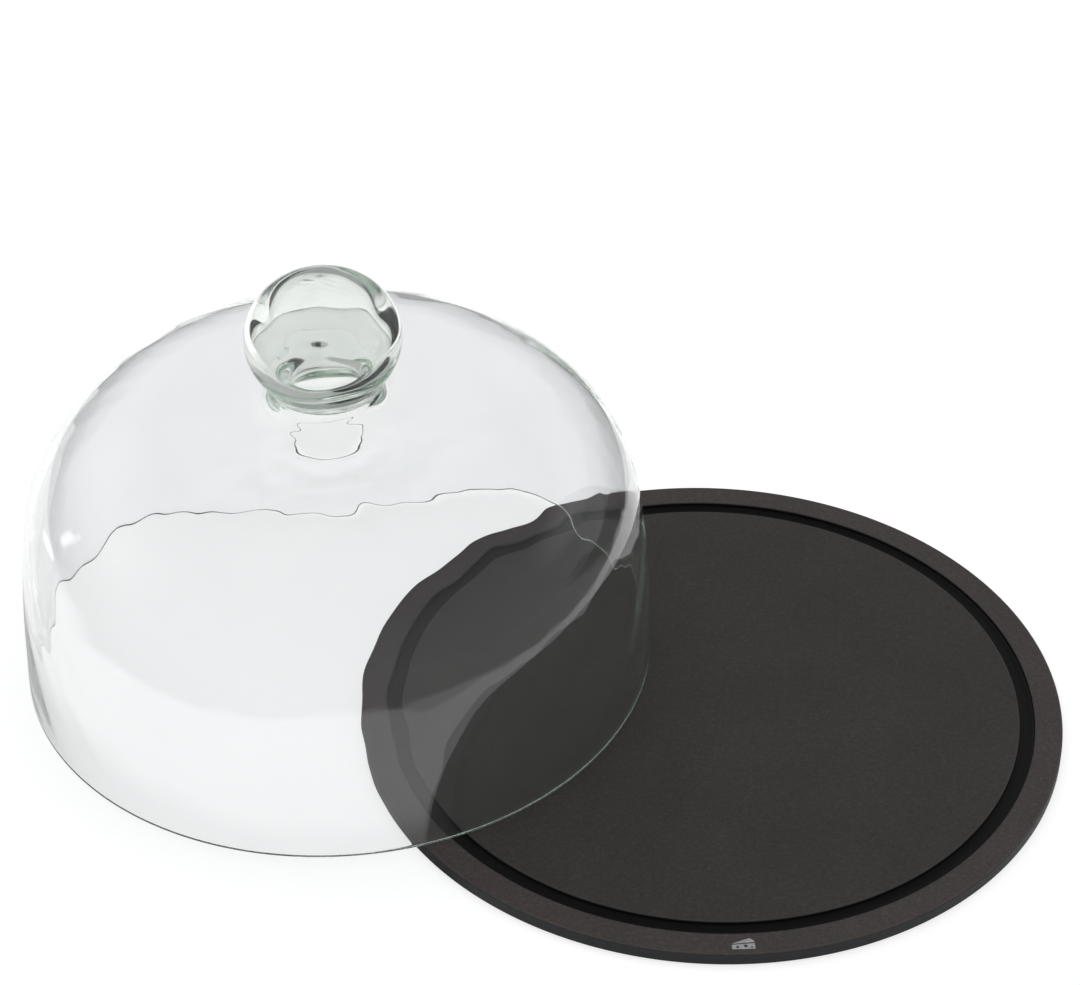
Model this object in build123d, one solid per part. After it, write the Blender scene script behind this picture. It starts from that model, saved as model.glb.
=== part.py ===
from build123d import *
import math
import os

# ---------------------------------------------------------------------------
# Cheese dome: a round serving board of dense wood-fibre composite with a
# groove near its rim, and a mouth-blown clear glass cover (a bell with a
# hollow ball knob).  The cover is off the board's groove and leans on the
# board's left edge, as it is put down while the cheese is being served.
#
# Frame, millimetres: origin at the centre of the board's underside, which is
# the plane that everything stands on (z = 0).  +Z is up.  -Y is the front.
# The cover lies towards -X.
# ---------------------------------------------------------------------------

# ---- serving board --------------------------------------------------------
BOARD_D = 300.0            # outer diameter
BOARD_T = 6.0              # thickness of the sheet it is cut from
BOARD_EDGE_R = 0.8         # rounding of the top and bottom edges
GROOVE_RI = 131.8          # inner wall of the groove
GROOVE_RO = 138.3          # outer wall of the groove
GROOVE_DEPTH = 2.2
GROOVE_FLOOR_R = 1.0       # corner radius of the milling cutter
GROOVE_LIP_R = 0.35        # broken edge at the groove's two lips

# ---- glass cover, in its own frame: rim plane at z = 0, axis +Z -----------
RIM_R = 135.8              # outer radius at the rim
RIM_WALL = 3.0             # wall thickness at the rim, fully rounded over
SEAM_Z = 140.0             # where the knob's gather is fused on to the neck
SEAM_RO = 22.3             # outer radius of the neck at the seam
SEAM_RI = 15.2             # bore of the neck at the seam
KNOB_A = 32.6              # half width of the ball knob
KNOB_C = 28.4              # half height of the ball knob
KNOB_Z = 164.0             # height of the ball's centre above the rim
CAVITY_A = 27.9            # half width of the hollow in the knob
CAVITY_C = 23.4            # half height of the hollow in the knob
CAVITY_Z = 165.0           # the hollow sits a little high: the base is thick

# Outer skin of the bell, from the top of the rounded rim to the neck seam.
BELL_OUTER = [
    (135.8, 1.5), (135.3, 20.0), (134.4, 40.0), (132.9, 60.0), (130.9, 75.0),
    (126.9, 90.0), (121.1, 101.0), (112.6, 111.0), (99.6, 120.3),
    (85.0, 126.3), (70.0, 129.3), (55.0, 130.6), (42.0, 131.2),
    (33.0, 132.0), (26.6, 134.2), (23.2, 137.2), (SEAM_RO, SEAM_Z),
]
# Inner skin, from the top of the rounded rim to the neck seam. The roof gets
# thicker towards the neck, to about 8 mm where the flare starts.
BELL_INNER = [
    (132.8, 1.5), (132.3, 20.0), (131.4, 40.0), (129.9, 59.6), (127.9, 74.2),
    (123.9, 88.4), (118.4, 98.8), (110.4, 108.4), (98.1, 117.2),
    (84.0, 122.6), (69.4, 124.45), (54.8, 124.2), (42.0, 123.45),
    (31.0, 123.6), (22.5, 126.2), (17.2, 132.0), (SEAM_RI, SEAM_Z),
]

# ---- where the cover stands ------------------------------------------------
# Its left side is on the table and its rim rides on the board's top edge.
COVER_X = -163.2           # centre of the rim, from the board's centre
COVER_Y = 28.3
COVER_TILT = 1.78          # degrees; the side over the board is the high one


def ring_profile(outer, inner, top_z, wall_mid_r, wall_r):
    """Closed half section of the bell: two skins, a round rim, a flat seam."""
    outer_skin = Spline(*outer, tangents=[(0, 1), (0, 1)])
    seam = Line(outer[-1], inner[-1])
    inner_skin = Spline(*inner, tangents=[(0, 1), (0, 1)])
    rim = ThreePointArc(inner[0], (wall_mid_r, 0.0), outer[0])
    return Wire([outer_skin.edge(), seam.edge(), inner_skin.edge(), rim.edge()])


def revolve_xz(face_xy):
    """Turn a half section drawn in (r, z) about the vertical axis."""
    return revolve(Plane.XZ * face_xy, axis=Axis.Z)


def make_board():
    r, t, e = BOARD_D / 2, BOARD_T, BOARD_EDGE_R
    gi, go, gd = GROOVE_RI, GROOVE_RO, t - GROOVE_DEPTH
    f, l = GROOVE_FLOOR_R, GROOVE_LIP_R
    k = 1 - math.sqrt(0.5)

    def arc(p, q, centre_p, radius, towards):
        cx, cy = centre_p
        mx = cx + radius * towards[0] * math.sqrt(0.5)
        my = cy + radius * towards[1] * math.sqrt(0.5)
        return ThreePointArc(p, (mx, my), q)

    pieces = [
        Line((0, 0), (r - e, 0)),
        arc((r - e, 0), (r, e), (r - e, e), e, (1, -1)),
        Line((r, e), (r, t - e)),
        arc((r, t - e), (r - e, t), (r - e, t - e), e, (1, 1)),
        Line((r - e, t), (go + l, t)),
        arc((go + l, t), (go, t - l), (go + l, t - l), l, (-1, 1)),
        Line((go, t - l), (go, gd + f)),
        arc((go, gd + f), (go - f, gd), (go - f, gd + f), f, (1, -1)),
        Line((go - f, gd), (gi + f, gd)),
        arc((gi + f, gd), (gi, gd + f), (gi + f, gd + f), f, (-1, -1)),
        Line((gi, gd + f), (gi, t - l)),
        arc((gi, t - l), (gi - l, t), (gi - l, t - l), l, (1, 1)),
        Line((gi - l, t), (0, t)),
        Line((0, t), (0, 0)),
    ]
    return revolve_xz(make_face([p.edge() for p in pieces]))


def make_bell():
    wire = ring_profile(BELL_OUTER, BELL_INNER, SEAM_Z,
                        RIM_R - RIM_WALL / 2, RIM_WALL / 2)
    return revolve_xz(Face(wire))


def ellipse_point(a, c, z0, degrees):
    t = math.radians(degrees)
    return (a * math.cos(t), z0 + c * math.sin(t))


def ball_skin(start, waist, a, c, z0, angles):
    """Skin of the ball from the seam to the pole: neck, lower ball, upper ball."""
    low = Spline(start, *waist, *[ellipse_point(a, c, z0, d) for d in angles],
                 (a, z0), tangents=[(0, 1), (0, 1)])
    mid = ellipse_point(a, c, z0, 45)
    high = Spline((a, z0), ellipse_point(a, c, z0, 15),
                  ellipse_point(a, c, z0, 30), mid,
                  tangents=[(0, 1), (-a, c)])
    cap = Spline(mid, ellipse_point(a, c, z0, 58), ellipse_point(a, c, z0, 70),
                 ellipse_point(a, c, z0, 80), (0.0, z0 + c),
                 tangents=[(-a, c), (-1, 0)])
    return [low.edge(), high.edge(), cap.edge()]


def make_knob():
    outer = ball_skin((SEAM_RO, SEAM_Z), [(22.5, 141.6), (24.0, 144.1)],
                      KNOB_A, KNOB_C, KNOB_Z, (-36, -22, -10))
    inner = ball_skin((SEAM_RI, SEAM_Z), [(14.9, 143.2), (16.4, 146.2)],
                      CAVITY_A, CAVITY_C, CAVITY_Z, (-44, -30, -14))
    face = Face(Wire(
        outer
        + [Line((0, KNOB_Z + KNOB_C), (0, CAVITY_Z + CAVITY_C)).edge()]
        + inner
        + [Line((SEAM_RI, SEAM_Z), (SEAM_RO, SEAM_Z)).edge()]))
    return revolve_xz(face)


def cover_location():
    """The leaning cover: lowest rim point on z = 0, high side to the board."""
    d = math.hypot(COVER_X, COVER_Y)
    ux, uy = -COVER_X / d, -COVER_Y / d
    s, c = math.sin(math.radians(COVER_TILT)), math.cos(math.radians(COVER_TILT))
    normal = (-s * ux, -s * uy, c)
    mid = RIM_R - RIM_WALL / 2
    half = RIM_WALL / 2
    base_z = mid * s + half * (1 - c)
    return Plane(origin=(COVER_X, COVER_Y, base_z),
                 x_dir=(c * ux, c * uy, s), z_dir=normal).location


os.makedirs("parts", exist_ok=True)

board = make_board()
place = cover_location()
bell = place * make_bell()
knob = place * make_knob()

for name, shape in (("serving_board", board),
                    ("glass_bell", bell),
                    ("glass_knob", knob)):
    export_step(shape, os.path.join("parts", name + ".step"))
    box = shape.bounding_box()
    print(name, "volume %.1f cm3" % (shape.volume / 1000),
          "x %.2f..%.2f y %.2f..%.2f z %.2f..%.2f" % (
              box.min.X, box.max.X, box.min.Y, box.max.Y, box.min.Z, box.max.Z))
print("bell to board gap %.3f mm" % bell.distance_to(board))
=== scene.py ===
import bpy
import math
import numpy as np
from mathutils import Matrix, Vector
from mathutils.geometry import tessellate_polygon


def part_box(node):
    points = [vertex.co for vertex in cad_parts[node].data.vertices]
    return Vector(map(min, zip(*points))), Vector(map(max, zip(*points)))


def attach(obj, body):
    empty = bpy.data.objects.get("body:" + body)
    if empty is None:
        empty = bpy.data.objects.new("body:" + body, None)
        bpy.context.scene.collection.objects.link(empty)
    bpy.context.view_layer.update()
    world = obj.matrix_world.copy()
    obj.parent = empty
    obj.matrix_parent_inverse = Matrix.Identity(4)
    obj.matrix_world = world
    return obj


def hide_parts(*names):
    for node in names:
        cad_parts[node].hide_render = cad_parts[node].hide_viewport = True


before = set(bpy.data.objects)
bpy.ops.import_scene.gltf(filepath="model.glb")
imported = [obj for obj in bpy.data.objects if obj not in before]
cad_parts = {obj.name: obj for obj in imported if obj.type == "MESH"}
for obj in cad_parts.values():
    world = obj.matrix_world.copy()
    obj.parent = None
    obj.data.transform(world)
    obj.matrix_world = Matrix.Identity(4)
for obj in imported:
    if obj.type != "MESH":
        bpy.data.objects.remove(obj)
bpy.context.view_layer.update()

MM = 0.001
scene = bpy.context.scene

# ---------------------------------------------------------------------------
# Camera: long lens, looking down on the set, a little rolled
# ---------------------------------------------------------------------------
CAM_F = 3500.0                     # focal length in pixels of the 1080 wide frame
CAM_DIST = 1505.728                # from the centre of the board's top face, mm
CAM_E0 = 0.723436                  # elevation of that line
CAM_YAW, CAM_PITCH, CAM_ROLL = -0.065837, -0.665063, 0.009824
BOARD_T = (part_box("serving_board")[1].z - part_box("serving_board")[0].z) / MM


def make_camera():
    cy, sy = math.cos(CAM_YAW), math.sin(CAM_YAW)
    cp, sp = math.cos(CAM_PITCH), math.sin(CAM_PITCH)
    cr, sr = math.cos(CAM_ROLL), math.sin(CAM_ROLL)
    fwd = Vector((sy * cp, cy * cp, sp))
    right = Vector((cy, -sy, 0.0))
    up = right.cross(fwd)
    r2, u2 = cr * right + sr * up, -sr * right + cr * up
    data = bpy.data.cameras.new("camera")
    cam = bpy.data.objects.new("camera", data)
    scene.collection.objects.link(cam)
    data.sensor_fit = "HORIZONTAL"
    data.sensor_width = 36.0
    data.lens = CAM_F / 1080.0 * 36.0
    data.clip_start, data.clip_end = 0.05, 60.0
    data.dof.use_dof = False
    m = Matrix((
        (r2.x, u2.x, -fwd.x, 0.0),
        (r2.y, u2.y, -fwd.y, -CAM_DIST * math.cos(CAM_E0) * MM),
        (r2.z, u2.z, -fwd.z, (CAM_DIST * math.sin(CAM_E0) + BOARD_T) * MM),
        (0, 0, 0, 1)))
    cam.matrix_world = m
    scene.camera = cam
    return cam


make_camera()

# ---------------------------------------------------------------------------
# Curves and lathes
# ---------------------------------------------------------------------------


def spline_through(points, t_start, t_end, step):
    """Smooth curve through points (r, z), chord-length parameter, with the
    given end directions, resampled about every `step` mm."""
    p = np.array(points, float)
    u = np.concatenate([[0], np.cumsum(np.hypot(*np.diff(p, axis=0).T))])
    n = len(p)
    h = np.diff(u)
    t0 = np.array(t_start, float) / np.hypot(*t_start)
    t1 = np.array(t_end, float) / np.hypot(*t_end)
    a = np.zeros((n, n))
    b = np.zeros((n, 2))
    a[0, 0], a[0, 1] = 2 * h[0], h[0]
    b[0] = 6 * ((p[1] - p[0]) / h[0] - t0)
    a[-1, -1], a[-1, -2] = 2 * h[-1], h[-1]
    b[-1] = 6 * (t1 - (p[-1] - p[-2]) / h[-1])
    for i in range(1, n - 1):
        a[i, i - 1], a[i, i], a[i, i + 1] = h[i - 1], 2 * (h[i - 1] + h[i]), h[i]
        b[i] = 6 * ((p[i + 1] - p[i]) / h[i] - (p[i] - p[i - 1]) / h[i - 1])
    m = np.linalg.solve(a, b)
    count = max(int(round(u[-1] / step)), 2)
    uu = np.linspace(0, u[-1], count + 1)
    k = np.clip(np.searchsorted(u, uu, side="right") - 1, 0, n - 2)
    hk = h[k][:, None]
    s0 = (u[k + 1] - uu)[:, None]
    s1 = (uu - u[k])[:, None]
    out = (m[k] * s0 ** 3 + m[k + 1] * s1 ** 3) / (6 * hk)
    out += (p[k] / hk - m[k] * hk / 6) * s0 + (p[k + 1] / hk - m[k + 1] * hk / 6) * s1
    return out


def resample(curve, spacing_at):
    """Resample a dense (r, z) polyline with a spacing that varies along it."""
    seg = np.hypot(*np.diff(curve, axis=0).T)
    mid = (curve[1:] + curve[:-1]) / 2
    dens = seg / spacing_at(mid[:, 0], mid[:, 1])
    c = np.concatenate([[0], np.cumsum(dens)])
    n = max(int(round(c[-1])), 2)
    t = np.linspace(0, c[-1], n + 1)
    return np.column_stack([np.interp(t, c, curve[:, 0]), np.interp(t, c, curve[:, 1])])


def normals_2d(curve):
    """Left-hand normals of a (r, z) polyline."""
    d = np.gradient(curve, axis=0)
    d /= np.hypot(*d.T)[:, None]
    return np.column_stack([-d[:, 1], d[:, 0]])


def grid_mesh(name, rows, closed_poles, material):
    """rows: (n_rows, n_seg, 3) points in metres.  Poles close both ends."""
    n_rows, n_seg, _ = rows.shape
    first, last = closed_poles
    verts = np.concatenate([rows.reshape(-1, 3), np.array([first, last])])
    i = np.arange(n_rows - 1)[:, None]
    j = np.arange(n_seg)[None, :]
    j2 = (j + 1) % n_seg
    quads = np.stack([i * n_seg + j, (i + 1) * n_seg + j,
                      (i + 1) * n_seg + j2, i * n_seg + j2], axis=-1).reshape(-1, 4)
    jj = np.arange(n_seg)
    jj2 = (jj + 1) % n_seg
    top, bottom = n_rows * n_seg, n_rows * n_seg + 1
    cap1 = np.stack([np.full(n_seg, top), jj, jj2], axis=-1)
    base = (n_rows - 1) * n_seg
    cap2 = np.stack([np.full(n_seg, bottom), base + jj2, base + jj], axis=-1)
    loops = np.concatenate([quads.ravel(), cap1.ravel(), cap2.ravel()])
    totals = np.concatenate([np.full(len(quads), 4), np.full(2 * n_seg, 3)])
    starts = np.concatenate([[0], np.cumsum(totals)[:-1]])
    # signed volume, to face the surface outwards
    tri = np.concatenate([quads[:, [0, 1, 2]], quads[:, [0, 2, 3]], cap1, cap2])
    v = verts[tri]
    vol = np.einsum("ij,ij->i", v[:, 0], np.cross(v[:, 1], v[:, 2])).sum() / 6
    mesh = bpy.data.meshes.new(name)
    if vol < 0:
        flipped = []
        for s, t in ((quads, 4), (cap1, 3), (cap2, 3)):
            flipped.append(s[:, ::-1].ravel())
        loops = np.concatenate(flipped)
    mesh.vertices.add(len(verts))
    mesh.vertices.foreach_set("co", verts.astype(np.float32).ravel())
    mesh.loops.add(len(loops))
    mesh.loops.foreach_set("vertex_index", loops.astype(np.int32))
    mesh.polygons.add(len(totals))
    mesh.polygons.foreach_set("loop_start", starts.astype(np.int32))
    mesh.polygons.foreach_set("loop_total", totals.astype(np.int32))
    mesh.polygons.foreach_set("use_smooth", np.ones(len(totals), bool))
    mesh.update(calc_edges=True)
    mesh.validate()
    mesh.materials.append(material)
    ob = bpy.data.objects.new(name, mesh)
    scene.collection.objects.link(ob)
    return ob


# ---------------------------------------------------------------------------
# Materials
# ---------------------------------------------------------------------------


def new_material(name):
    mat = bpy.data.materials.new(name)
    mat.use_nodes = True
    nt = mat.node_tree
    nt.nodes.clear()
    return mat, nt


def node(nt, kind, **props):
    n = nt.nodes.new(kind)
    for k, v in props.items():
        setattr(n, k, v)
    return n


def noise(nt, coord, scale, detail=3.0, rough=0.5, distortion=0.0):
    n = node(nt, "ShaderNodeTexNoise")
    n.inputs["Scale"].default_value = scale
    n.inputs["Detail"].default_value = detail
    n.inputs["Roughness"].default_value = rough
    n.inputs["Distortion"].default_value = distortion
    nt.links.new(coord, n.inputs["Vector"])
    return n.outputs["Fac"]


def ramp(nt, fac, stops, interpolation="LINEAR"):
    n = node(nt, "ShaderNodeValToRGB")
    n.color_ramp.interpolation = interpolation
    e = n.color_ramp.elements
    while len(e) > 1:
        e.remove(e[-1])
    e[0].position, e[0].color = stops[0][0], (*stops[0][1], 1) if len(stops[0][1]) == 3 else stops[0][1]
    for p, c in stops[1:]:
        x = e.new(p)
        x.color = (*c, 1)
    nt.links.new(fac, n.inputs["Fac"])
    return n.outputs["Color"]


def math_node(nt, op, a, b=None, clamp=False):
    n = node(nt, "ShaderNodeMath", operation=op, use_clamp=clamp)
    for i, v in enumerate((a, b)):
        if v is None:
            continue
        if isinstance(v, (int, float)):
            n.inputs[i].default_value = v
        else:
            nt.links.new(v, n.inputs[i])
    return n.outputs[0]


def map_range(nt, v, a0, a1, b0, b1):
    n = node(nt, "ShaderNodeMapRange")
    nt.links.new(v, n.inputs["Value"])
    for k, x in zip(("From Min", "From Max", "To Min", "To Max"), (a0, a1, b0, b1)):
        n.inputs[k].default_value = x
    return n.outputs["Result"]


def glass_material():
    """Hand-blown soda-lime glass: clear where thin, pale green where thick."""
    mat, nt = new_material("clear_blown_glass")
    out = node(nt, "ShaderNodeOutputMaterial")
    p = node(nt, "ShaderNodeBsdfPrincipled")
    p.inputs["Transmission Weight"].default_value = 0.992
    p.inputs["IOR"].default_value = 1.52
    p.inputs["Roughness"].default_value = 0.0
    co = node(nt, "ShaderNodeTexCoord").outputs["Object"]
    # faint cords in the metal, and a greener gather in the knob
    streak = noise(nt, co, 26.0, 2.0, 0.45, 0.6)
    wall = ramp(nt, streak, [(0.3, (0.960, 0.958, 0.968)), (0.7, (0.972, 0.970, 0.979))])
    gather = ramp(nt, streak, [(0.3, (0.958, 0.972, 0.954)), (0.7, (0.974, 0.984, 0.970))])
    away = node(nt, "ShaderNodeVectorMath", operation="DISTANCE")
    nt.links.new(co, away.inputs[0])
    away.inputs[1].default_value = knob_centre()
    near = map_range(nt, away.outputs["Value"], 0.034, 0.044, 1.0, 0.0)
    tint = node(nt, "ShaderNodeMix", data_type="RGBA", blend_type="MIX")
    nt.links.new(near, tint.inputs[0])
    nt.links.new(wall, tint.inputs[6])
    nt.links.new(gather, tint.inputs[7])
    nt.links.new(tint.outputs[2], p.inputs["Base Color"])
    fine = noise(nt, co, 70.0, 1.0, 0.4, 0.3)
    bump = node(nt, "ShaderNodeBump")
    bump.inputs["Strength"].default_value = 0.03
    bump.inputs["Distance"].default_value = 0.0004
    nt.links.new(fine, bump.inputs["Height"])
    nt.links.new(bump.outputs["Normal"], p.inputs["Normal"])
    clear = node(nt, "ShaderNodeBsdfTransparent")
    clear.inputs["Color"].default_value = (0.93, 0.94, 0.94, 1)
    path = node(nt, "ShaderNodeLightPath")
    mix = node(nt, "ShaderNodeMixShader")
    nt.links.new(path.outputs["Is Shadow Ray"], mix.inputs[0])
    nt.links.new(p.outputs[0], mix.inputs[1])
    nt.links.new(clear.outputs[0], mix.inputs[2])
    nt.links.new(mix.outputs[0], out.inputs["Surface"])
    vol = node(nt, "ShaderNodeVolumeAbsorption")
    vol.inputs["Color"].default_value = (0.50, 0.90, 0.58, 1)
    vol.inputs["Density"].default_value = 3.6
    nt.links.new(vol.outputs[0], out.inputs["Volume"])
    return mat


def board_material():
    """Charcoal wood-fibre and resin composite, milled, with painted highlights on its edges and painted shade in
    its groove and on its side.
    """
    mat, nt = new_material("charcoal_fibre_composite")
    out = node(nt, "ShaderNodeOutputMaterial")
    p = node(nt, "ShaderNodeBsdfPrincipled")
    co = node(nt, "ShaderNodeTexCoord").outputs["Object"]
    xyz = node(nt, "ShaderNodeSeparateXYZ")
    nt.links.new(co, xyz.inputs[0])
    r2 = math_node(nt, "ADD", math_node(nt, "MULTIPLY", xyz.outputs[0], xyz.outputs[0]),
                   math_node(nt, "MULTIPLY", xyz.outputs[1], xyz.outputs[1]))
    r = math_node(nt, "SQRT", r2)
    stretch = node(nt, "ShaderNodeMapping")
    stretch.inputs["Scale"].default_value = (1.0, 1.25, 1.0)
    nt.links.new(co, stretch.inputs["Vector"])
    speck = noise(nt, stretch.outputs[0], 1500.0, 3.0, 0.65)
    fleck = noise(nt, stretch.outputs[0], 520.0, 4.0, 0.6, 0.4)
    cloud = noise(nt, co, 22.0, 4.0, 0.55, 0.2)
    base = ramp(nt, fleck, [(0.25, (0.039, 0.0362, 0.0338)), (0.52, (0.051, 0.0475, 0.0446)),
                            (0.74, (0.070, 0.065, 0.061))])
    spk = ramp(nt, speck, [(0.30, (0.74, 0.74, 0.74)), (0.5, (1, 1, 1)), (0.72, (1.42, 1.40, 1.38))])
    m1 = node(nt, "ShaderNodeMix", data_type="RGBA", blend_type="MULTIPLY")
    m1.inputs[0].default_value = 1.0
    nt.links.new(base, m1.inputs[6])
    nt.links.new(spk, m1.inputs[7])
    cl = ramp(nt, cloud, [(0.3, (0.92, 0.92, 0.92)), (0.7, (1.08, 1.075, 1.07))])
    m2 = node(nt, "ShaderNodeMix", data_type="RGBA", blend_type="MULTIPLY")
    m2.inputs[0].default_value = 1.0
    nt.links.new(m1.outputs[2], m2.inputs[6])
    nt.links.new(cl, m2.inputs[7])

    def ring(radius, width):
        d = math_node(nt, "ABSOLUTE", math_node(nt, "SUBTRACT", r, radius))
        return map_range(nt, d, 0.0, width, 1.0, 0.0)
    # painted highlights: paler lines along the milled lips and the rim edge
    edges = ring(0.13165, 0.0006)
    edges = math_node(nt, "MAXIMUM", edges, ring(0.13845, 0.0006))
    edges = math_node(nt, "MAXIMUM", edges, ring(0.1495, 0.0005))
    edges = math_node(nt, "MULTIPLY", edges, map_range(nt, xyz.outputs[2], 0.0040, 0.0056, 0.0, 1.0))
    # noise that breaks up the painted highlights along their length
    highlight_breakup = noise(nt, co, 60.0, 3.0, 0.6)
    edges = math_node(nt, "MULTIPLY", edges, map_range(nt, highlight_breakup, 0.3, 0.7, 0.35, 1.0))
    m3 = node(nt, "ShaderNodeMix", data_type="RGBA", blend_type="MIX")
    nt.links.new(math_node(nt, "MULTIPLY", edges, 0.55), m3.inputs[0])
    nt.links.new(m2.outputs[2], m3.inputs[6])
    m3.inputs[7].default_value = (0.095, 0.092, 0.089, 1)
    # painted shade: the milled groove is mixed to near black, its floor a little less, and the turned side to a
    # dark bluish grey
    low = map_range(nt, xyz.outputs[2], 0.0052, 0.0057, 1.0, 0.0)
    in_groove = math_node(nt, "MULTIPLY", map_range(nt, r, 0.1311, 0.1316, 0.0, 1.0),
                          map_range(nt, r, 0.1388, 0.1391, 1.0, 0.0))
    groove_painted_shade = math_node(nt, "MULTIPLY", in_groove, low)
    groove_floor = math_node(nt, "MULTIPLY", in_groove, map_range(nt, xyz.outputs[2], 0.0039, 0.0042, 1.0, 0.0))
    side = math_node(nt, "MULTIPLY", map_range(nt, r, 0.1494, 0.1498, 0.0, 1.0), low)
    rim_band = math_node(nt, "MULTIPLY", map_range(nt, r, 0.1386, 0.1391, 0.0, 1.0),
                         map_range(nt, xyz.outputs[2], 0.0055, 0.0058, 0.0, 1.0))
    m4 = node(nt, "ShaderNodeMix", data_type="RGBA", blend_type="MULTIPLY")
    nt.links.new(rim_band, m4.inputs[0])
    nt.links.new(m3.outputs[2], m4.inputs[6])
    m4.inputs[7].default_value = (1.40, 1.28, 1.31, 1)
    m5 = node(nt, "ShaderNodeMix", data_type="RGBA", blend_type="MIX")
    nt.links.new(math_node(nt, "MULTIPLY", groove_painted_shade, 0.97), m5.inputs[0])
    nt.links.new(m4.outputs[2], m5.inputs[6])
    m5.inputs[7].default_value = (0.0018, 0.0018, 0.0019, 1)
    # the groove floor keeps a little of the board colour: less painted shade there
    m6 = node(nt, "ShaderNodeMix", data_type="RGBA", blend_type="MIX")
    nt.links.new(math_node(nt, "MULTIPLY", groove_floor, 0.07), m6.inputs[0])
    nt.links.new(m5.outputs[2], m6.inputs[6])
    nt.links.new(m4.outputs[2], m6.inputs[7])
    # painted shade on the turned side: mixed to a dark bluish grey
    m7 = node(nt, "ShaderNodeMix", data_type="RGBA", blend_type="MIX")
    nt.links.new(math_node(nt, "MULTIPLY", side, 0.94), m7.inputs[0])
    nt.links.new(m6.outputs[2], m7.inputs[6])
    m7.inputs[7].default_value = (0.0045, 0.0060, 0.0080, 1)
    nt.links.new(m7.outputs[2], p.inputs["Base Color"])
    rough = map_range(nt, fleck, 0.3, 0.7, 0.50, 0.62)
    nt.links.new(rough, p.inputs["Roughness"])
    p.inputs["IOR"].default_value = 1.38
    h = math_node(nt, "ADD", math_node(nt, "MULTIPLY", fleck, 0.6), math_node(nt, "MULTIPLY", speck, 0.4))
    bump = node(nt, "ShaderNodeBump")
    bump.inputs["Strength"].default_value = 0.25
    bump.inputs["Distance"].default_value = 0.0003
    nt.links.new(h, bump.inputs["Height"])
    nt.links.new(bump.outputs["Normal"], p.inputs["Normal"])
    nt.links.new(p.outputs[0], out.inputs["Surface"])
    return mat


def ink_material():
    mat, nt = new_material("pale_grey_ink")
    out = node(nt, "ShaderNodeOutputMaterial")
    p = node(nt, "ShaderNodeBsdfPrincipled")
    co = node(nt, "ShaderNodeTexCoord").outputs["Object"]
    n = noise(nt, co, 900.0, 3.0, 0.6)
    c = ramp(nt, n, [(0.3, (0.36, 0.36, 0.36)), (0.7, (0.50, 0.50, 0.50))])
    nt.links.new(c, p.inputs["Base Color"])
    nt.links.new(map_range(nt, n, 0.3, 0.7, 0.45, 0.6), p.inputs["Roughness"])
    nt.links.new(p.outputs[0], out.inputs["Surface"])
    return mat


COVER_X, COVER_Y, COVER_TILT = -163.2, 28.3, math.radians(1.78)
SKEW = 0.014                       # the blown axis isn't quite square to the cut rim
KNOB_A, KNOB_C, KNOB_Z = 32.6, 28.4, 164.0


def cover_frame():
    d = math.hypot(COVER_X, COVER_Y)
    ux, uy = -COVER_X / d, -COVER_Y / d
    st, ct = math.sin(COVER_TILT), math.cos(COVER_TILT)
    e1 = np.array([ct * ux, ct * uy, st])
    nn = np.array([-st * ux, -st * uy, ct])
    e2 = np.cross(nn, e1)
    base = np.array([COVER_X, COVER_Y, 134.3 * st + 1.5 * (1 - ct)])
    return base, e1, e2, nn


def knob_centre():
    base, e1, e2, nn = cover_frame()
    return tuple((base + SKEW * KNOB_Z * e1 + KNOB_Z * nn) * MM)


GLASS = glass_material()
BOARD = board_material()
INK = ink_material()

# ---------------------------------------------------------------------------
# Serving board
# ---------------------------------------------------------------------------


def arc_points(c, radius, a0, a1, n):
    t = np.radians(np.linspace(a0, a1, n))
    return np.column_stack([c[0] + radius * np.cos(t), c[1] + radius * np.sin(t)])


def make_board():
    r, t, e = 150.0, BOARD_T, 0.8
    gi, go, gd, f, l = 131.8, 138.3, BOARD_T - 2.2, 1.0, 0.35
    prof = [np.column_stack([np.linspace(3.0, gi - l - 0.4, 44), np.full(44, t)]),
            arc_points((gi - l, t - l), l, 90, 0, 6),
            np.column_stack([np.full(3, gi), np.linspace(t - l - 0.1, gd + f + 0.1, 3)]),
            arc_points((gi + f, gd + f), f, 180, 270, 8),
            np.column_stack([np.linspace(gi + f + 0.3, go - f - 0.3, 5), np.full(5, gd)]),
            arc_points((go - f, gd + f), f, -90, 0, 8),
            np.column_stack([np.full(3, go), np.linspace(gd + f + 0.1, t - l - 0.1, 3)]),
            arc_points((go + l, t - l), l, 180, 90, 6),
            np.column_stack([np.linspace(go + l + 0.4, r - e - 0.4, 6), np.full(6, t)]),
            arc_points((r - e, t - e), e, 90, 0, 9),
            np.column_stack([np.full(4, r), np.linspace(t - e - 0.2, e + 0.2, 4)]),
            arc_points((r - e, e), e, 0, -90, 9),
            np.column_stack([np.linspace(r - e - 0.5, 3.0, 20), np.zeros(20)])]
    prof = np.concatenate(prof)
    th = np.linspace(0, 2 * np.pi, 640, endpoint=False)
    rows = np.zeros((len(prof), len(th), 3))
    rows[:, :, 0] = prof[:, :1] * np.cos(th)
    rows[:, :, 1] = prof[:, :1] * np.sin(th)
    rows[:, :, 2] = prof[:, 1:]
    return grid_mesh("board_slab", rows * MM, ((0, 0, t * MM), (0, 0, 0)), BOARD)


board = make_board()
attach(board, "board")
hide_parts("serving_board")



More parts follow.
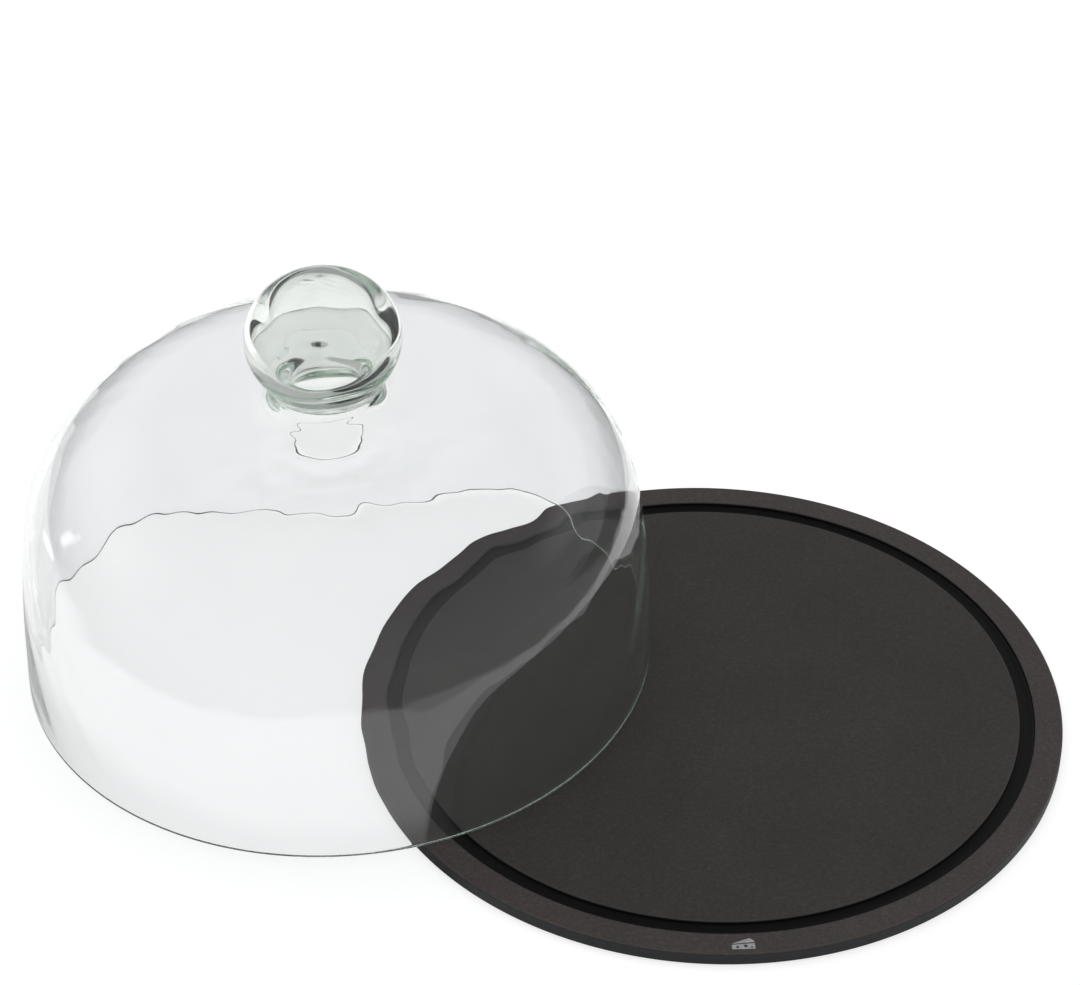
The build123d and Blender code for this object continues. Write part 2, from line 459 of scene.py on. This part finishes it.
def make_mark():
    """A small printed wedge of cheese on the front of the rim."""
    def circle(cx, cy, r, n=20):
        return [(cx + r * math.cos(2 * math.pi * k / n), cy + r * math.sin(2 * math.pi * k / n)) for k in range(n)]
    shapes = [
        ([(-4.6, 0.15), (2.4, 2.9), (3.4, 2.5), (4.2, 1.7), (4.6, 0.75)], []),
        ([(-4.6, -0.45), (4.6, 0.15), (4.6, -2.9), (-4.6, -2.9)],
         [circle(-2.4, -1.75, 0.62), circle(0.9, -1.25, 0.78), circle(3.3, -2.0, 0.45)])]
    verts, faces = [], []
    lo, hi = BOARD_T - 0.012, BOARD_T + 0.016
    for outer, holes in shapes:
        loops = [outer] + holes
        flat = [p for loop in loops for p in loop]
        tris = tessellate_polygon([[Vector((x, y, 0)) for x, y in loop] for loop in loops])
        base, n = len(verts), len(flat)
        verts += [(x, y, hi) for x, y in flat] + [(x, y, lo) for x, y in flat]
        edges = {}
        for t in tris:
            (ax, ay), (bx, by), (cx, cy) = (flat[k] for k in t)
            if (bx - ax) * (cy - ay) - (by - ay) * (cx - ax) < 0:
                t = (t[0], t[2], t[1])
            faces.append(tuple(base + k for k in t))
            faces.append(tuple(base + n + k for k in reversed(t)))
            for a, b in ((t[0], t[1]), (t[1], t[2]), (t[2], t[0])):
                edges[(a, b)] = True
        for a, b in edges:
            if (b, a) not in edges:
                faces.append((base + a, base + n + a, base + n + b, base + b))
    ang = math.radians(MARK_ANGLE)
    cx, cy = MARK_R * math.cos(ang), MARK_R * math.sin(ang)
    turn = ang + math.pi / 2
    c, sn = math.cos(turn), math.sin(turn)
    pts = [((cx + c * x - sn * y) * MM, (cy + sn * x + c * y) * MM, z * MM) for x, y, z in verts]
    mesh = bpy.data.meshes.new("printed_wedge")
    mesh.from_pydata(pts, [], faces)
    mesh.update()
    mesh.materials.append(INK)
    ob = bpy.data.objects.new("printed_wedge", mesh)
    scene.collection.objects.link(ob)
    return ob


MARK_R, MARK_ANGLE = 144.1, -83.0
mark = make_mark()
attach(mark, "board")

# ---------------------------------------------------------------------------
# Glass cover
# ---------------------------------------------------------------------------
CAV_A, CAV_C, CAV_Z = 27.9, 23.4, 165.0
RIM_Z = 0.75                       # the cut rim, fire-polished
BELL_OUTER = [
    (135.8, RIM_Z), (135.3, 20.0), (134.4, 40.0), (132.9, 60.0), (130.9, 75.0),
    (126.9, 90.0), (121.1, 101.0), (112.6, 111.0), (99.6, 120.3),
    (85.0, 126.3), (70.0, 129.3), (55.0, 130.6), (42.0, 131.2),
    (33.0, 132.0), (26.6, 134.2), (23.2, 137.2), (22.3, 140.0)]
BELL_INNER = [
    (132.8, RIM_Z), (132.3, 20.0), (131.4, 40.0), (129.9, 59.6), (127.9, 74.2),
    (123.9, 88.4), (118.4, 98.8), (110.4, 108.4), (98.1, 117.2),
    (84.0, 122.6), (69.4, 124.45), (54.8, 124.2), (42.0, 123.45),
    (31.0, 123.6), (22.5, 126.2), (17.2, 132.0), (15.2, 140.0)]


def ell(a, c, z0, d, thick=0.0):
    narrow = 1 - thick * math.exp(-((d - 26) / 20.0) ** 2)
    return (a * narrow * math.cos(math.radians(d)), z0 + c * math.sin(math.radians(d)))


def skin(bell, waist, a, c, z0, angles, thick=0.0):
    pts = list(bell) + list(waist) + [ell(a, c, z0, d, thick) for d in angles] + [(0.0, z0 + c)]
    return spline_through(pts, (0, 1), (-1, 0), 0.25)


def ripple(terms, theta, s, r):
    """Waves in the metal.  A wave dies out where the lathe gets too narrow for
    it, so none is shorter than about 16 mm round the circumference."""
    out = np.zeros((len(s), len(theta)))
    for amp, k, wave, ph in terms:
        fit = np.clip(2 * np.pi * r / (abs(k) * 16.0), 0, 1) ** 2
        out += amp * fit[:, None] * np.sin(k * theta[None, :] + 2 * np.pi * s[:, None] / wave + ph)
    return out


def smooth(x, a, b):
    t = np.clip((x - a) / (b - a), 0, 1)
    return t * t * (3 - 2 * t)


def make_cover():
    outer = skin(BELL_OUTER, [(22.5, 141.6), (24.0, 144.1)], KNOB_A, KNOB_C, KNOB_Z,
                 (-36, -22, -8, 8, 24, 40, 56, 72))
    inner = skin(BELL_INNER, [(14.9, 143.2), (16.4, 146.2)], CAV_A, CAV_C, CAV_Z,
                 (-44, -30, -12, 8, 26, 44, 62, 76), 0.065)

    def spacing(r, z):
        near = np.clip((np.hypot(r - 30, z - 136) - 20) / 60, 0, 1)
        return 0.55 + 1.0 * near
    outer = resample(outer, spacing)
    inner = resample(inner, spacing)
    rim = arc_points((134.3, RIM_Z), 1.5, 0, -180, 17)[1:-1]
    rim[:, 1] = RIM_Z - RIM_Z * np.abs((rim[:, 1] - RIM_Z) / 1.5) ** 0.8
    # from the outer pole down to the rim, over it, and up to the inner pole
    o = outer[::-1][1:]
    i = inner[:-1]
    theta = np.linspace(0, 2 * np.pi, 336, endpoint=False)

    def displaced(curve, terms_wall, terms_neck, terms_knob, side):
        s = np.concatenate([[0], np.cumsum(np.hypot(*np.diff(curve, axis=0).T))])
        nrm = normals_2d(curve) * side
        r, z = curve[:, 0], curve[:, 1]
        # the roof is calmer towards its middle
        wall = smooth(z, 1.5, 14.0) * (1 - smooth(z, 132, 138)) * (0.12 + 0.88 * smooth(r, 34, 84))
        inside = smooth(r, 0.1, 4) * smooth(z, 118, 126)
        collar = smooth(z, 131, 137) * (1 - smooth(z, 144, 150)) * smooth(-r, -34, -27) * inside
        knob = smooth(z, 138, 146) * smooth(r, 3.0, 16.0)
        d = (ripple(terms_wall, theta, s, r) * wall[:, None]
             + ripple(terms_neck, theta, s, r + 40) * (0.8 * collar)[:, None]
             + ripple(terms_knob, theta, s, r + 40) * knob[:, None])
        rr = r[:, None] + d * nrm[:, :1]
        zz = z[:, None] + d * nrm[:, 1:]
        return rr, zz

    wall_in = [(0.12, 5, 140, 0.4), (0.09, -7, 95, 1.9), (0.07, 11, 61, 4.1),
               (0.05, -13, 44, 2.6), (0.035, 17, 36, 5.2), (0.02, -23, 29, 0.9),
               (0.016, 37, 26, 2.9), (0.009, -53, 19, 0.3)]
    wall_out = [(0.07, -4, 160, 2.2), (0.06, 6, 88, 0.6), (0.04, -9, 57, 3.6),
                (0.025, 14, 41, 1.2), (0.012, -19, 31, 4.4), (0.008, -31, 23, 1.7)]
    neck_out = [(0.09, 1, 6.3, 0.5), (0.05, -2, 4.6, 2.5), (0.03, 3, 8.7, 4.0)]
    neck_in = [(0.09, -1, 5.7, 1.1), (0.06, 2, 7.9, 3.1), (0.03, -3, 4.3, 5.0)]
    knob_out = [(0.03, 2, 61, 0.7), (0.02, -3, 47, 2.0)]
    knob_in = [(0.22, 2, 70, 1.3), (0.10, -3, 44, 3.9), (0.035, 5, 26, 0.2)]
    ro, zo = displaced(o, wall_out, neck_out, knob_out, 1.0)
    ro = np.minimum(ro, 135.77)
    ri, zi = displaced(i, wall_in, neck_in, knob_in, 1.0)
    # the wrinkled scar at the top, where the hot gather was sheared off
    px, py = ro * np.cos(theta), ro * np.sin(theta) + 4.5
    win = np.exp(-((px / 9.0) ** 2 + (py / 5.5) ** 2) ** 2) * (zo > KNOB_Z)
    scar = (0.06 * np.sin(1.9 * py + 0.35 * px + 0.8 * np.sin(0.7 * px))
            + 0.035 * np.sin(1.2 * px + 2.6 * py + 1.3 * np.sin(0.9 * px + 0.4) + 2.0)
            + 0.02 * np.sin(2.9 * px - 1.4 * py + 4.0)) * win
    zo = zo + scar - 0.10 * win
    zo = np.minimum(zo, KNOB_Z + KNOB_C - 0.14)
    rr = np.concatenate([ro, np.repeat(rim[:, :1], len(theta), 1), ri])
    zz = np.concatenate([zo, np.repeat(rim[:, 1:], len(theta), 1), zi])
    x = rr * np.cos(theta) + SKEW * np.maximum(zz, 0)
    y = rr * np.sin(theta)
    base, e1, e2, nn = cover_frame()

    def place(x, y, z):
        return base + x[..., None] * e1 + y[..., None] * e2 + z[..., None] * nn
    rows = place(x, y, zz) * MM
    tz, iz = KNOB_Z + KNOB_C - 0.14, CAV_Z + CAV_C
    first = place(np.array(SKEW * tz), np.array(0.0), np.array(tz)) * MM
    last = place(np.array(SKEW * iz), np.array(0.0), np.array(iz)) * MM
    return grid_mesh("blown_glass_cover", rows, (first, last), GLASS)


cover = make_cover()
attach(cover, "cover")
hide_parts("glass_bell", "glass_knob")

# ---------------------------------------------------------------------------
# Stage: pale table lit round the set, soft lights, a dim studio beyond
# ---------------------------------------------------------------------------


def mix_value(nt, fac, a, b):
    n = node(nt, "ShaderNodeMix", data_type="FLOAT")
    for i, v in ((0, fac), (2, a), (3, b)):
        if isinstance(v, (int, float)):
            n.inputs[i].default_value = v
        else:
            nt.links.new(v, n.inputs[i])
    return n.outputs[0]


def path_kind(nt):
    """1 where the light has been mirrored, and 1 where it has been scattered."""
    lp = node(nt, "ShaderNodeLightPath")
    mirrored = math_node(nt, "GREATER_THAN", lp.outputs["Glossy Depth"], 0.5)
    scattered = math_node(nt, "GREATER_THAN", lp.outputs["Diffuse Depth"], 0.5)
    return mirrored, scattered


POOL_X, POOL_Y, POOL_R = -0.105, 0.065, 0.345     # the brightly lit part of the table
FLOOR_GLOW, FLOOR_DIFF = 0.74, 0.47
FLOOR_FAR = 0.30                                  # table beyond it, as the glass mirrors it
FLOOR_BOUNCE = 0.48                               # light it throws up at the board


def make_floor():
    mat, nt = new_material("white_table")
    out = node(nt, "ShaderNodeOutputMaterial")
    co = node(nt, "ShaderNodeTexCoord").outputs["Object"]
    xyz = node(nt, "ShaderNodeSeparateXYZ")
    nt.links.new(co, xyz.inputs[0])
    def distance(cx, cy, sx=1.0, sy=1.0):
        dx = math_node(nt, "MULTIPLY", math_node(nt, "SUBTRACT", xyz.outputs[0], cx), 1 / sx)
        dy = math_node(nt, "MULTIPLY", math_node(nt, "SUBTRACT", xyz.outputs[1], cy), 1 / sy)
        return math_node(nt, "SQRT", math_node(nt, "ADD", math_node(nt, "MULTIPLY", dx, dx),
                                               math_node(nt, "MULTIPLY", dy, dy)))
    # the paper sweep: lit near the set and behind it to the left
    near = map_range(nt, distance(POOL_X, POOL_Y), POOL_R - 0.012, POOL_R + 0.012, 1.0, 0.0)
    back = map_range(nt, distance(-0.45, 0.35), 0.39, 0.45, 1.0, 0.0)
    lit = math_node(nt, "MAXIMUM", near, back)
    # beyond it: dim in front, dark at both sides of the back, grey between
    slant = math_node(nt, "DIVIDE", math_node(nt, "ADD", xyz.outputs[0], 0.18),
                      math_node(nt, "MAXIMUM", xyz.outputs[1], 0.05))
    between = map_range(nt, math_node(nt, "ABSOLUTE", slant), 0.20, 0.30, 0.34, 0.05)
    far = mix_value(nt, map_range(nt, xyz.outputs[1], 0.10, 0.25, 0.0, 1.0), FLOOR_FAR, between)
    pool = mix_value(nt, lit, far, 1.0)
    # weaker light round the foot of the glass, whose thick rim bends it away
    foot = map_range(nt, distance(-0.1632, 0.0283), 0.150, 0.166, 0.50, 1.0)
    pool = math_node(nt, "MULTIPLY", pool, foot)
    # a low window's patch of light on the table, mirrored in the left wall
    patch = map_range(nt, distance(-0.70, 0.16, 0.11, 0.05), 0.8, 1.2, 2.2, 0.0)
    pool = math_node(nt, "MAXIMUM", pool, patch)
    mirrored, scattered = path_kind(nt)
    level = mix_value(nt, mirrored, 1.0, pool)
    level = mix_value(nt, scattered, level, FLOOR_BOUNCE)
    rgb = node(nt, "ShaderNodeCombineColor")
    for k in range(3):
        nt.links.new(math_node(nt, "MULTIPLY", level, FLOOR_DIFF), rgb.inputs[k])
    d = node(nt, "ShaderNodeBsdfDiffuse")
    nt.links.new(rgb.outputs[0], d.inputs["Color"])
    e = node(nt, "ShaderNodeEmission")
    e.inputs["Color"].default_value = (1, 1, 1, 1)
    glow = map_range(nt, distance(0.0, 0.0), 0.9, 3.5, FLOOR_GLOW, FLOOR_GLOW + 0.17)
    nt.links.new(math_node(nt, "MULTIPLY", level, glow), e.inputs["Strength"])
    add = node(nt, "ShaderNodeAddShader")
    nt.links.new(d.outputs[0], add.inputs[0])
    nt.links.new(e.outputs[0], add.inputs[1])
    nt.links.new(add.outputs[0], out.inputs["Surface"])
    mesh = bpy.data.meshes.new("table_top")
    n, r = 96, 5.0
    v = [(r * math.cos(2 * math.pi * k / n), r * math.sin(2 * math.pi * k / n), -0.0001) for k in range(n)]
    mesh.from_pydata(v, [], [tuple(range(n))])
    mesh.materials.append(mat)
    ob = bpy.data.objects.new("table_top", mesh)
    scene.collection.objects.link(ob)
    return ob


make_floor()


def area(name, loc, target, size, power, colour=(1, 1, 1)):
    data = bpy.data.lights.new(name, "AREA")
    data.shape = "RECTANGLE"
    data.size, data.size_y = size
    data.energy = power
    data.color = colour
    ob = bpy.data.objects.new(name, data)
    scene.collection.objects.link(ob)
    ob.location = loc
    d = Vector(target) - Vector(loc)
    ob.rotation_mode = "QUATERNION"
    ob.rotation_quaternion = d.to_track_quat("-Z", "Y")
    ob.visible_camera = False
    ob.visible_glossy = False
    ob.visible_transmission = False
    return ob


area("overhead", (-0.1, 0.35, 2.0), (-0.1, 0.05, 0), (2.2, 1.6), 16)
area("left_window", (-1.5, 0.5, 0.9), (-0.2, 0, 0.05), (0.5, 0.9), 3)
area("right_fill", (1.6, -0.4, 1.2), (0.0, 0, 0.05), (0.6, 0.9), 1.5)

world = bpy.data.worlds.new("studio")
scene.world = world
world.use_nodes = True
wnt = world.node_tree
wnt.nodes.clear()
wout = node(wnt, "ShaderNodeOutputWorld")
bg = node(wnt, "ShaderNodeBackground")
wco = node(wnt, "ShaderNodeTexCoord").outputs["Generated"]
wsep = node(wnt, "ShaderNodeSeparateXYZ")
wnt.links.new(wco, wsep.inputs[0])
wx, wy, wz = wsep.outputs
height = map_range(wnt, wz, -1.0, 1.0, 0.0, 1.0)


def at_el(deg):
    return 0.5 + 0.5 * math.sin(math.radians(deg))


def grey(v, cool=0.0):
    return (v * (1 - cool), v, v * (1 + cool))


# what is seen directly or straight through the glass: a pale backdrop
pale = ramp(wnt, height, [(at_el(-2), grey(0.93)), (at_el(8), grey(0.92)), (at_el(50), grey(0.84))])
# what the glass mirrors: a dim room, a soft band of light at the back
back_room = ramp(wnt, height, [(at_el(-1), grey(0.30, 0.02)), (at_el(15.5), grey(0.30, 0.02)),
                               (at_el(17.5), grey(0.58, 0.01)), (at_el(28), grey(0.48, 0.01)),
                               (at_el(38), grey(0.10, 0.02)), (at_el(60), grey(0.04, 0.02)),
                               (at_el(90), grey(0.08, 0.02))])
front_room = ramp(wnt, height, [(at_el(-1), grey(0.30, 0.02)), (at_el(30), grey(0.22, 0.02)),
                                (at_el(60), grey(0.08, 0.02)), (at_el(90), grey(0.08, 0.02))])


def mix_rgb(nt, fac, a, b):
    n = node(nt, "ShaderNodeMix", data_type="RGBA", blend_type="MIX")
    for i, v in ((0, fac), (6, a), (7, b)):
        if isinstance(v, tuple):
            n.inputs[i].default_value = (*v, 1)
        elif isinstance(v, (int, float)):
            n.inputs[i].default_value = v
        else:
            nt.links.new(v, n.inputs[i])
    return n.outputs[2]


def soft_window(nt, az, el, half_w, half_h, edge):
    """1 inside a rectangle of the sky, fading over `edge` degrees."""
    a, b = math.radians(az), math.radians(el)
    f = Vector((math.sin(a) * math.cos(b), math.cos(a) * math.cos(b), math.sin(b)))
    r = Vector((math.cos(a), -math.sin(a), 0.0))
    u = r.cross(f)

    def dot(v):
        n = node(nt, "ShaderNodeVectorMath", operation="DOT_PRODUCT")
        nt.links.new(wco, n.inputs[0])
        n.inputs[1].default_value = v
        return n.outputs["Value"]
    ahead = dot(f)
    sx, sy = math.sin(math.radians(half_w)), math.sin(math.radians(half_h))
    e = math.sin(math.radians(edge))
    mx = map_range(nt, math_node(nt, "ABSOLUTE", dot(r)), sx - e, sx + e, 1.0, 0.0)
    my = map_range(nt, math_node(nt, "ABSOLUTE", dot(u)), sy - e, sy + e, 1.0, 0.0)
    m = math_node(nt, "MULTIPLY", mx, my)
    return math_node(nt, "MULTIPLY", m, math_node(nt, "GREATER_THAN", ahead, 0.0))


room = mix_rgb(wnt, map_range(wnt, wy, -0.1, 0.35, 0.0, 1.0), front_room, back_room)
WINDOWS = [(-65, 28, 30, 16, 12, 0.70),      # soft light from the left
           (-47, 0, 21, 6, 3, 0.05),          # a dark doorway at the back
           (-73, 5, 2.0, 4.5, 0.8, 2.2)]      # a small bright window at the left
for az, el, hw, hh, edge, level in WINDOWS:
    room = mix_rgb(wnt, soft_window(wnt, az, el, hw, hh, edge), room, (level, level, level))
w_mirrored, w_scattered = path_kind(wnt)
wcol = mix_rgb(wnt, w_mirrored, pale, room)
wcol = mix_rgb(wnt, w_scattered, wcol, (0.25, 0.255, 0.265))
wnt.links.new(wcol, bg.inputs["Color"])
bg.inputs["Strength"].default_value = 1.0
wnt.links.new(bg.outputs[0], wout.inputs["Surface"])

scene.view_settings.view_transform = "Standard"
scene.view_settings.look = "None"
scene.cycles.max_bounces = 48
scene.cycles.transmission_bounces = 40
scene.cycles.glossy_bounces = 40
scene.cycles.transparent_max_bounces = 24
scene.cycles.diffuse_bounces = 4
scene.cycles.caustics_reflective = False
scene.cycles.caustics_refractive = True
scene.cycles.sample_clamp_indirect = 4.0
